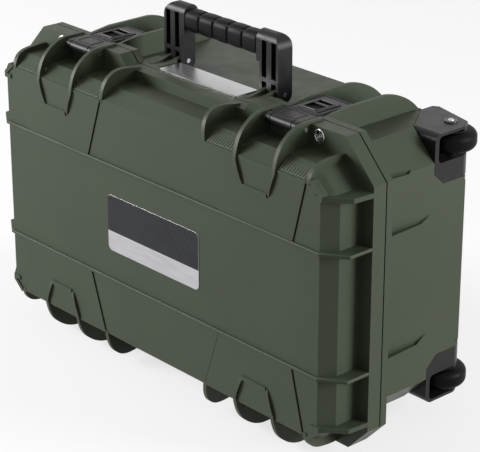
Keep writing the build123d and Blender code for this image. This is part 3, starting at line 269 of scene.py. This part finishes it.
def metal(name, colour, roughness, brushed=(1, 1, 1), depth=0.82):
    """Metal with fine streaks down to a depth; a small stretch draws them out along an axis."""
    material, tree, shader = new_material(name)
    streak = noise(tree, 700, detail=3, stretch=brushed)
    base = linear(*colour)
    dark = tuple(c * depth for c in base[:3]) + (1,)
    tree.links.new(blend_colour(tree, remap(tree, streak, 0.3, 0.7, 0, 1), dark, base),
                   shader.inputs["Base Color"])
    tree.links.new(remap(tree, streak, 0.3, 0.7, roughness - 0.06, roughness + 0.08),
                   shader.inputs["Roughness"])
    shader.inputs["Metallic"].default_value = 1.0
    bumped(tree, shader, streak, 0.05, 0.0001)
    return material


def cellular(name, colour, cell_size):
    """Open-cell foam: small dark pores in a matt skin."""
    material, tree, shader = new_material(name)
    pores = add_node(tree, "ShaderNodeTexVoronoi",
                     {"Vector": coordinates(tree), "Scale": cell_size}).outputs["Distance"]
    broad = noise(tree, 25, detail=3)
    base = linear(*colour)
    deep = tuple(c * 0.45 for c in base[:3]) + (1,)
    shade = blend_colour(tree, remap(tree, pores, 0.05, 0.5, 0, 1), deep, base)
    soft = tuple(min(1, c * 1.25) for c in base[:3]) + (1,)
    tree.links.new(blend_colour(tree, remap(tree, broad, 0.35, 0.7, 0, 0.5), shade, soft),
                   shader.inputs["Base Color"])
    shader.inputs["Roughness"].default_value = 0.95
    shader.inputs["Sheen Weight"].default_value = 0.15
    bumped(tree, shader, pores, 0.6, 0.0006)
    return material


def label_print():
    """Dark printed field with a fine plain lattice of slanting lines."""
    material, tree, shader = new_material("label_field_print")
    axes = add_node(tree, "ShaderNodeSeparateXYZ", {0: coordinates(tree)})
    across, up = axes.outputs["X"], axes.outputs["Z"]
    lines = []
    for slope in (0.5, -0.5):
        slant = math_node(tree, "MULTIPLY_ADD", up, slope, across)
        wave = math_node(tree, "PINGPONG", slant, 0.0032)
        lines.append(remap(tree, wave, 0.0, 0.0006, 1.0, 0.0))
    lattice = math_node(tree, "MAXIMUM", *lines)
    ground = blend_colour(tree, remap(tree, noise(tree, 30, detail=2), 0.35, 0.65, 0, 1),
                          linear(36, 37, 40), linear(44, 45, 49))
    tree.links.new(blend_colour(tree, math_node(tree, "MULTIPLY", lattice, 0.5), ground,
                                linear(62, 63, 68)), shader.inputs["Base Color"])
    shader.inputs["Roughness"].default_value = 0.42
    shader.inputs["Specular IOR Level"].default_value = 0.15
    bumped(tree, shader, lattice, 0.3, 0.0001)
    return material


looks = {
    "shell": moulded("shell_plastic", (66, 74, 59), 0.46, specular=0.2),
    "black_plastic": moulded("black_plastic", (25, 25, 26), 0.36, grain=0.14, highlight_lift=1.7,
                             specular=0.22),
    "grip": moulded("grip_rubber", (13, 13, 14), 0.44, grain=0.25, grain_size=1400, highlight_lift=1.2,
                    specular=0.1),
    "foam": cellular("foam_cells", (46, 46, 49), 900),
    "steel": metal("pin_steel", (205, 205, 203), 0.24, brushed=(1, 1, 8)),
    "plate": metal("brushed_plate", (192, 193, 192), 0.3, brushed=(0.04, 1, 1), depth=0.93),
    "tube": metal("anodised_tube", (165, 167, 170), 0.36, brushed=(0.03, 1, 1)),
    "print": metal("label_silver", (180, 180, 183), 0.42, brushed=(0.05, 1, 1), depth=0.93),
    "gasket": moulded("gasket_rubber", (24, 24, 24), 0.6),
    "tyre": moulded("tyre_rubber", (11, 11, 12), 0.48, grain=0.08, highlight_lift=1.3, specular=0.07),
    "wheel": moulded("wheel_plastic", (30, 30, 32), 0.42),
    "zinc": metal("zinc_screw", (200, 200, 196), 0.25),
    "button": moulded("button_plastic", (58, 60, 62), 0.4),
}
axle_look = metal("axle_steel", (96, 97, 97), 0.38, brushed=(1, 1, 1))
# A darker copy of the black plastic for the triggers: painted shade of the latches' deep windows.
trigger_shaded_look = moulded("trigger_plastic_painted_shade", (9, 9, 10), 0.6, specular=0.08)
# A lighter copy of the shell plastic: painted light on the ridges of the bevel over the face.
ridge_lit_look = moulded("ridged_plastic_painted_lighter", (80, 88, 73), 0.42, grain=0.06, specular=0.35)
label_field_look = label_print()


# ---------- soft edges on the CAD nodes ----------
def smooth_shading():
    """Node group that joins the mesh's split corners and shades it smooth."""
    group = bpy.data.node_groups.new("shade_smooth", "GeometryNodeTree")
    group.interface.new_socket("Geometry", in_out="INPUT", socket_type="NodeSocketGeometry")
    group.interface.new_socket("Geometry", in_out="OUTPUT", socket_type="NodeSocketGeometry")
    begin = group.nodes.new("NodeGroupInput")
    end = group.nodes.new("NodeGroupOutput")
    merge = group.nodes.new("GeometryNodeMergeByDistance")
    merge.inputs["Distance"].default_value = 0.002 * MM
    shade = group.nodes.new("GeometryNodeSetShadeSmooth")
    group.links.new(begin.outputs[0], merge.inputs["Geometry"])
    group.links.new(merge.outputs[0], shade.inputs["Geometry"])
    group.links.new(shade.outputs[0], end.inputs[0])
    return group


shade_group = smooth_shading()
# radius of the soft edges of each slot, in millimetres
soft_edges = {"shell": 0.9, "black_plastic": 0.6, "wheel": 0.4, "button": 0.5, "tyre": 0.8}


def soften(obj, width):
    """Round over a CAD node's edges and keep its flats flat."""
    shade = obj.modifiers.new("shade", "NODES")
    shade.node_group = shade_group
    flat = obj.modifiers.new("flat", "DECIMATE")
    flat.decimate_type = "DISSOLVE"
    flat.angle_limit = math.radians(0.6)
    bevel = obj.modifiers.new("edge", "BEVEL")
    bevel.width = width
    bevel.segments = 2
    bevel.limit_method = "ANGLE"
    bevel.angle_limit = math.radians(28)
    bevel.use_clamp_overlap = True
    bevel.miter_outer = "MITER_ARC"
    normals = obj.modifiers.new("normals", "WEIGHTED_NORMAL")
    normals.weight = 60


node_looks = {"trigger_left": trigger_shaded_look, "trigger_right": trigger_shaded_look,
              "wheel_axles": axle_look}
for name, obj in nodes.items():
    slot = slot_of[name]
    look = node_looks.get(name, looks[slot])
    for index in range(len(obj.data.materials)):
        obj.data.materials[index] = look
    if slot in soft_edges:
        soften(obj, soft_edges[slot] * MM)


# ---------- pieces ----------
def make_piece(name, mesh_code, body, slot, look=None, replaced=(), smooth=True):
    """A piece from a bmesh, in the model's frame, riding on a body."""
    mesh = bpy.data.meshes.new(name)
    mesh_code.normal_update()
    mesh_code.to_mesh(mesh)
    mesh_code.free()
    mesh.materials.append(look or looks[slot])
    if smooth:
        mesh.shade_smooth()
    obj = bpy.data.objects.new(name, mesh)
    bpy.context.scene.collection.objects.link(obj)
    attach(obj, body)
    if replaced:
        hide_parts(*replaced)
    return obj


def bridge(shape, rings, close_ring=True, cap=True, loop=False):
    """Faces between rings of points, with caps at both ends or a loop back to the first ring."""
    rows = [[shape.verts.new(point) for point in ring] for ring in rings]
    count = len(rows[0])
    spans = count if close_ring else count - 1
    following = rows[1:] + rows[:1] if loop else rows[1:]
    for low, high in zip(rows, following):
        for i in range(spans):
            j = (i + 1) % count
            shape.faces.new((low[i], low[j], high[j], high[i]))
    if cap:
        shape.faces.new(list(reversed(rows[0])))
        shape.faces.new(rows[-1])


def rounded_rectangle(half_x, half_y, radius, steps=6):
    """Points round a rectangle with rounded corners, anticlockwise."""
    points = []
    for quarter, (sx, sy) in enumerate(((1, 1), (-1, 1), (-1, -1), (1, -1))):
        for step in range(steps + 1):
            angle = math.radians(90 * (quarter + step / steps))
            points.append((sx * (half_x - radius) + radius * math.cos(angle),
                           sy * (half_y - radius) + radius * math.sin(angle)))
    return points


def octagon(half_x, half_z, cut_x, cut_z):
    """Corners of a rectangle with cut corners, anticlockwise from the right."""
    return [(half_x, half_z - cut_z), (half_x - cut_x, half_z), (-half_x + cut_x, half_z),
            (-half_x, half_z - cut_z), (-half_x, -half_z + cut_z), (-half_x + cut_x, -half_z),
            (half_x - cut_x, -half_z), (half_x, -half_z + cut_z)]


def plate(shape, outline, y_back, y_front, edge):
    """Flat plate facing the front, its front edge rounded over."""
    centre_x = sum(x for x, z in outline) / len(outline)
    centre_z = sum(z for x, z in outline) / len(outline)

    def ring(y, inset):
        points = []
        for x, z in outline:
            away = Vector((x - centre_x, z - centre_z))
            away.length = max(away.length - inset * 1.2, 0.01)
            points.append(place(centre_x + away.x, y, centre_z + away.y))
        return points

    bridge(shape, [ring(y_back, 0), ring(y_front + edge, 0),
                   ring(y_front + edge * 0.3, edge * 0.3), ring(y_front, edge)])
    bmesh.ops.recalc_face_normals(shape, faces=shape.faces)


# ---------- label: a silver plate with a dark printed field over its upper part ----------
label_x, label_z = label_half
label = bmesh.new()
plate(label, rounded_rectangle(label_x, label_z, label_corner), face_y, face_y - label_proud,
      label_edge)
make_piece("label_plate", label, "lid", "print", replaced=["nameplate"], smooth=False)

field_x, field_z = label_x - field_inset, label_z - field_inset
inset_outline = rounded_rectangle(field_x, field_z, label_corner - field_inset / 2)
field_outline = [(x, z) for x, z in inset_outline if z > field_low]
field_outline += [(-field_x, field_low), (field_x, field_low)]
label = bmesh.new()
plate(label, field_outline, face_y - label_proud + field_proud,
      face_y - label_proud - field_proud, field_edge)
make_piece("label_field", label, "lid", "print", look=label_field_look, smooth=False)


# ---------- ridged patches ----------
def ridged_patch(x_low, x_high, ridges):
    """Ridges that run down the bevel over the face's upper edge."""
    shape = bmesh.new()
    low, high = Vector(ridge_low), Vector(ridge_high)
    normal = Vector((-(high.y - low.y), high.x - low.x)).normalized()
    pitch = (x_high - x_low) / ridges
    rings = []
    for along, fade in ridge_stations:
        spot = low.lerp(high, along)
        ring = []
        for ridge in range(ridges):
            for part, rise in ridge_section:
                out = spot + normal * (rise * fade)
                ring.append(place(x_low + (ridge + part) * pitch, out.x, out.y))
        ring.append(place(x_high, spot.x, spot.y))
        rings.append(ring)
    bridge(shape, rings, close_ring=False, cap=False)
    bmesh.ops.recalc_face_normals(shape, faces=shape.faces)
    bmesh.ops.solidify(shape, geom=list(shape.faces), thickness=ridge_back * MM)
    return shape


for side, sign in (("left", -1), ("right", 1)):
    for which, (near, far, ridges) in ridge_patches.items():
        ends = sorted((sign * near, sign * far))
        make_piece(f"grip_ridges_{side}_{which}", ridged_patch(*ends, ridges), "lid", "shell",
                   look=ridge_lit_look)


# ---------- carrying handle ----------
def grip_sleeve():
    """Rubber sleeve in segments, gently crowned between narrow grooves."""
    low, high = (Vector(corner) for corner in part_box("handle_grip"))
    centre = (low + high) / 2
    half = (high - low) / 2
    length = 2 * half.x / sleeve_segments
    sections = [(low.x + (segment + part) * length, size)
                for segment in range(sleeve_segments) for part, size in sleeve_stations]
    sections.append((high.x, sleeve_groove))
    outline = rounded_rectangle(half.y, half.z, sleeve_round * MM, steps=8)
    shape = bmesh.new()
    bridge(shape, [[(x, centre.y + a * size, centre.z + b * size) for a, b in outline]
                   for x, size in sections])
    bmesh.ops.recalc_face_normals(shape, faces=shape.faces)
    return shape


make_piece("grip_sleeve", grip_sleeve(), "carry_handle", "grip", replaced=["handle_grip"])


# ---------- latches, eyelets and axles ----------
plate_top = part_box("latch_left")[1][2] - frame_rise * MM


def spot_on_top(x, y, z):
    """Millimetres from mid-length, the parting plane and the latches' plate."""
    return Vector((x * MM, parting_y + y * MM, plate_top + z * MM))


def raised_rim(shape, centre_x, reach, half_x, radius, width, rise, back):
    """Raised rim round a rectangle on a latch's plate, its edges rounded over."""
    y0, y1 = reach
    half_y = (y1 - y0) / 2
    section = ((0.0, -back), (0.0, rise * 0.6), (width * 0.22, rise), (width * 0.78, rise),
               (width, rise * 0.6), (width, -back))
    rings = []
    for inset, z in section:
        outline = rounded_rectangle(half_x - inset, half_y - inset, max(radius - inset, 0.5),
                                    steps=4)
        rings.append([spot_on_top(centre_x + x, y0 + half_y + y, z) for x, y in outline])
    bridge(shape, rings, cap=False, loop=True)


for side in ("left", "right"):
    low, high = (Vector(corner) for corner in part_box(f"latch_{side}"))
    middle = (low.x + high.x) / 2 / MM
    rims = bmesh.new()
    for rim in latch_rims:
        raised_rim(rims, middle, *rim)
    bmesh.ops.recalc_face_normals(rims, faces=rims.faces)
    make_piece(f"latch_rims_{side}", rims, f"{side}_latch", "black_plastic", smooth=False)


def rolled_rim(shape, x, y, z):
    """Rolled rim of an eyelet, facing along Y."""
    rings = []
    for step in range(40):
        angle = math.tau * step / 40
        ring = []
        for turn in range(12):
            tilt = math.tau * turn / 12
            reach = rolled_radius + rolled_tube * math.cos(tilt)
            out = rolled_squash * rolled_tube * math.sin(tilt)
            ring.append(Vector((x + reach * math.cos(angle) * MM, y - out * MM,
                                z + reach * math.sin(angle) * MM)))
        rings.append(ring)
    bridge(shape, rings, cap=False, loop=True)


for node, body in (("lid_eyelets", "lid"), ("base_eyelets", "base")):
    low, high = (Vector(corner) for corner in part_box(node))
    face = low.y + rolled_sink * MM if body == "lid" else high.y - rolled_sink * MM
    rolled = bmesh.new()
    for x in (low.x + eyelet_rim * MM, high.x - eyelet_rim * MM):
        rolled_rim(rolled, x, face, (low.z + high.z) / 2)
    bmesh.ops.recalc_face_normals(rolled, faces=rolled.faces)
    make_piece(f"{node}_rolled_rims", rolled, body, "steel")


def domed_cap(shape, x, y, z, up):
    """Domed end of an axle, upwards or downwards."""
    rings = []
    for tilt in map(math.radians, cap_tilts):
        reach = cap_radius * math.cos(max(tilt, 0)) * MM
        height = up * cap_rise * math.sin(tilt) * MM
        rings.append([Vector((x + reach * math.cos(math.tau * step / 28),
                              y + reach * math.sin(math.tau * step / 28), z + height))
                      for step in range(28)])
    bridge(shape, rings)


low, high = (Vector(corner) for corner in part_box("wheel_axles"))
caps = bmesh.new()
for z, up in ((high.z, 1), (low.z, -1)):
    domed_cap(caps, (low.x + high.x) / 2, (low.y + high.y) / 2, z, up)
bmesh.ops.recalc_face_normals(caps, faces=caps.faces)
make_piece("axle_caps", caps, "base", "steel")


# ---------- seal ----------
def seal_bead():
    """Rubber bead in the lid's groove: flat sides and a crown with a shallow channel along it."""
    low, high = (Vector(corner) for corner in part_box("lid_gasket"))
    half_x = (high.x - low.x) / 2 / MM - seal_width
    half_z = (high.z - low.z) / 2 / MM - seal_width
    cut_x, cut_z = seal_cut
    rings = []
    for out, y in seal_section:
        growth = out * seal_cut_growth
        corners = octagon(half_x + out, half_z + out, cut_x + growth, cut_z + growth)
        rings.append([place(x, y, z) for x, z in corners])
    shape = bmesh.new()
    bridge(shape, rings, cap=False, loop=True)
    bmesh.ops.recalc_face_normals(shape, faces=shape.faces)
    return shape


make_piece("seal_bead", seal_bead(), "lid", "gasket", replaced=["lid_gasket"], smooth=False)


# ---------- foam ----------
def spaced(low, high, step):
    """Evenly spaced numbers from low up to, but without, high, about a step apart."""
    count = max(1, round((high - low) / step))
    return [low + (high - low) * i / count for i in range(count)]


def foam_block(name, half, cut, face, sides, xs, zs, body, replaced, waist=0.0):
    """Foam with a modelled face between cut corners, and soft rounded sides.

    half is the face's half size and cut its cut corners; face(x, z) gives its Y; sides lists
    how far each ring of the side stands out from the face's border, and its Y; xs and zs are
    the face's grid lines; the waist draws the sides in between the corners.
    """
    half_x, half_z = half
    cut_x, cut_z = cut
    pinned = 0.8 * half_x

    def column(x, z):
        """X of a grid line at this height, drawn in by the cut corners and the waist."""
        past = max(0.0, abs(z) - (half_z - cut_z))
        reach = half_x - (cut_x * past / cut_z if cut_z else 0)
        reach -= waist * (1 - (z / half_z) ** 2)
        if abs(x) > pinned:
            x = math.copysign(pinned + (abs(x) - pinned) / (half_x - pinned) * (reach - pinned), x)
        return x

    shape = bmesh.new()
    grid = []
    for z in zs:
        line = []
        for x in xs:
            x1 = column(x, z)
            z1 = z * (1 - waist / half_z * (1 - (x / half_x) ** 2) * abs(z) / half_z)
            soft = 0.5 * field.noise(Vector((x1, z1, 3.0)) * 0.03)
            line.append(shape.verts.new(place(x1, face(x1, z1) + soft, z1)))
        grid.append(line)
    for low, high in zip(grid, grid[1:]):
        for i in range(len(xs) - 1):
            shape.faces.new((low[i], low[i + 1], high[i + 1], high[i]))
    border = grid[0] + [line[-1] for line in grid[1:-1]] + grid[-1][::-1]
    border += [line[0] for line in grid[-2:0:-1]]
    centre = place(0, 0, 0)
    previous = border
    for out_x, out_z, y in sides:
        ring = []
        for vert in border:
            spot = vert.co - centre
            ring.append(shape.verts.new(place(spot.x / MM * (1 + out_x / half_x), y,
                                              spot.z / MM * (1 + out_z / half_z))))
        for i in range(len(border)):
            j = (i + 1) % len(border)
            shape.faces.new((previous[i], previous[j], ring[j], ring[i]))
        previous = ring
    shape.faces.new(previous)
    bmesh.ops.recalc_face_normals(shape, faces=shape.faces)
    piece = make_piece(name, shape, body, "foam", replaced=[replaced])


def smooth_step(value, low, high):
    """0 below low, 1 above high, and an easy curve between them."""
    share = min(1.0, max(0.0, (value - low) / (high - low)))
    return share * share * (3 - 2 * share)


def crate_face(x, z):
    """Rounded peaks and dips, level near the edges."""
    half_x, half_z = lid_foam_half
    wave = math.cos(x * math.tau / crate_pitch) * math.cos(z * math.tau / crate_pitch)
    past_corner = half_x + half_z - crate_corner - abs(x) - abs(z)
    edge = min(half_x - abs(x), half_z - abs(z), past_corner * 0.7)
    return crate_top - crate_swing * (1 - wave) * smooth_step(edge, *crate_border)


crate_xs, crate_zs = (spaced(-half, half, crate_step) + [half] for half in lid_foam_half)
foam_block("lid_egg_crate", lid_foam_half, lid_foam_cut, crate_face, lid_foam_sides,
           crate_xs, crate_zs, "lid", "lid_foam")


def pocket_face(x, z):
    """Level rim, rounded over into the laptop's pocket."""
    inside = min(pocket_half[0] - abs(x), pocket_half[1] - abs(z))
    over = smooth_step(inside, -rim_run, 0.0)
    down = smooth_step(inside, 0.0, wall_run)
    crown = rim_crown * smooth_step(-inside, 0, crown_run)
    return rim_top - crown + rim_round * over + (pocket_floor - rim_top - rim_round) * down


def pocket_lines(inner, edge, reach):
    """Grid lines over the pocket and its rim, close together where the rim rounds over."""
    over_floor = spaced(-inner, inner, pocket_step) + [inner]
    rim = [edge + step for step in (-wall_run, 0.0, 0.5, 1.2, 2.1, rim_run)]
    rim += spaced(edge + 8, reach, 8) + [reach]
    return [-line for line in reversed(rim)] + over_floor + rim


base_low, base_high = (Vector(corner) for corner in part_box("base_foam"))
base_foam_half = ((base_high.x - base_low.x) / 2 / MM - base_foam_side, base_foam_half_z)
pocket_xs, pocket_zs = map(pocket_lines, pocket_inner, pocket_half, base_foam_half)
foam_block("base_foam_block", base_foam_half, base_foam_cut, pocket_face, base_foam_sides,
           pocket_xs, pocket_zs, "base", "base_foam")


def pad_face(x, z):
    """Crowned pad, thinner towards its edges."""
    edge = min(pad_half[0] - abs(x), pad_half[1] - abs(z))
    return pad_top + pad_crown * (1 - smooth_step(edge, 0, pad_border))


pad_xs, pad_zs = (spaced(-half, half, pad_step) + [half] for half in pad_half)
foam_block("pocket_pad", pad_half, (0, 0), pad_face, pad_sides, pad_xs, pad_zs,
           "base", "laptop_pad", waist=pad_waist)

# ---------- floor, light and camera ----------
def paper():
    """White paper to the eye; it bounces little light, so the case keeps its own shading."""
    material, tree, shader = new_material("paper")
    seen = seen_directly(tree)
    tree.links.new(blend_colour(tree, seen, (0.22, 0.22, 0.22, 1), (0.32, 0.32, 0.32, 1)),
                   shader.inputs["Base Color"])
    shader.inputs["Roughness"].default_value = 0.9
    shader.inputs["Specular IOR Level"].default_value = 0.0
    shader.inputs["Emission Color"].default_value = (1, 1, 1, 1)
    tree.links.new(math_node(tree, "MULTIPLY", seen, 0.72), shader.inputs["Emission Strength"])
    return material


bpy.ops.mesh.primitive_plane_add(size=14, location=(0, 0, 0))
floor = bpy.context.object
floor.name = "floor"
floor.data.materials.append(paper())

world = bpy.data.worlds.new("studio")
bpy.context.scene.world = world
world.use_nodes = True
sky = world.node_tree
background = sky.nodes["Background"]
background.inputs["Color"].default_value = (1, 1, 1, 1)
sky.links.new(remap(sky, seen_directly(sky), 0, 1, 0.23, 1.0), background.inputs["Strength"])


def lamp(name, direction, size, strength):
    """Square soft lamp; at strength 1 a surface facing it renders as its colour is written."""
    distance = 3.2
    data = bpy.data.lights.new(name, "AREA")
    data.shape = "SQUARE"
    data.size = size
    data.energy = strength * (math.pi * distance) ** 2
    obj = bpy.data.objects.new(name, data)
    bpy.context.scene.collection.objects.link(obj)
    aim = Vector((0, 0, 0.18))
    away = Vector(direction).normalized()
    obj.location = aim + away * distance
    obj.rotation_euler = (-away).to_track_quat("-Z", "Y").to_euler()


lamp("left_front", (-0.72, -0.62, 0.30), 1.5, 1.16)
lamp("right_back", (0.84, 0.46, 0.22), 1.3, 0.92)

camera_data = bpy.data.cameras.new("camera")
camera = bpy.data.objects.new("camera", camera_data)
bpy.context.scene.collection.objects.link(camera)
camera_data.lens = 149.11
camera_data.sensor_width = 36
camera.location = (1.50233, -1.33759, 1.00539)
camera_aim = Vector((0.13843, -0.11125, 0.23702))
camera.rotation_mode = "QUATERNION"
camera.rotation_quaternion = (camera_aim - camera.location).to_track_quat("-Z", "Y")
bpy.context.scene.camera = camera
bpy.context.scene.view_settings.view_transform = "Standard"
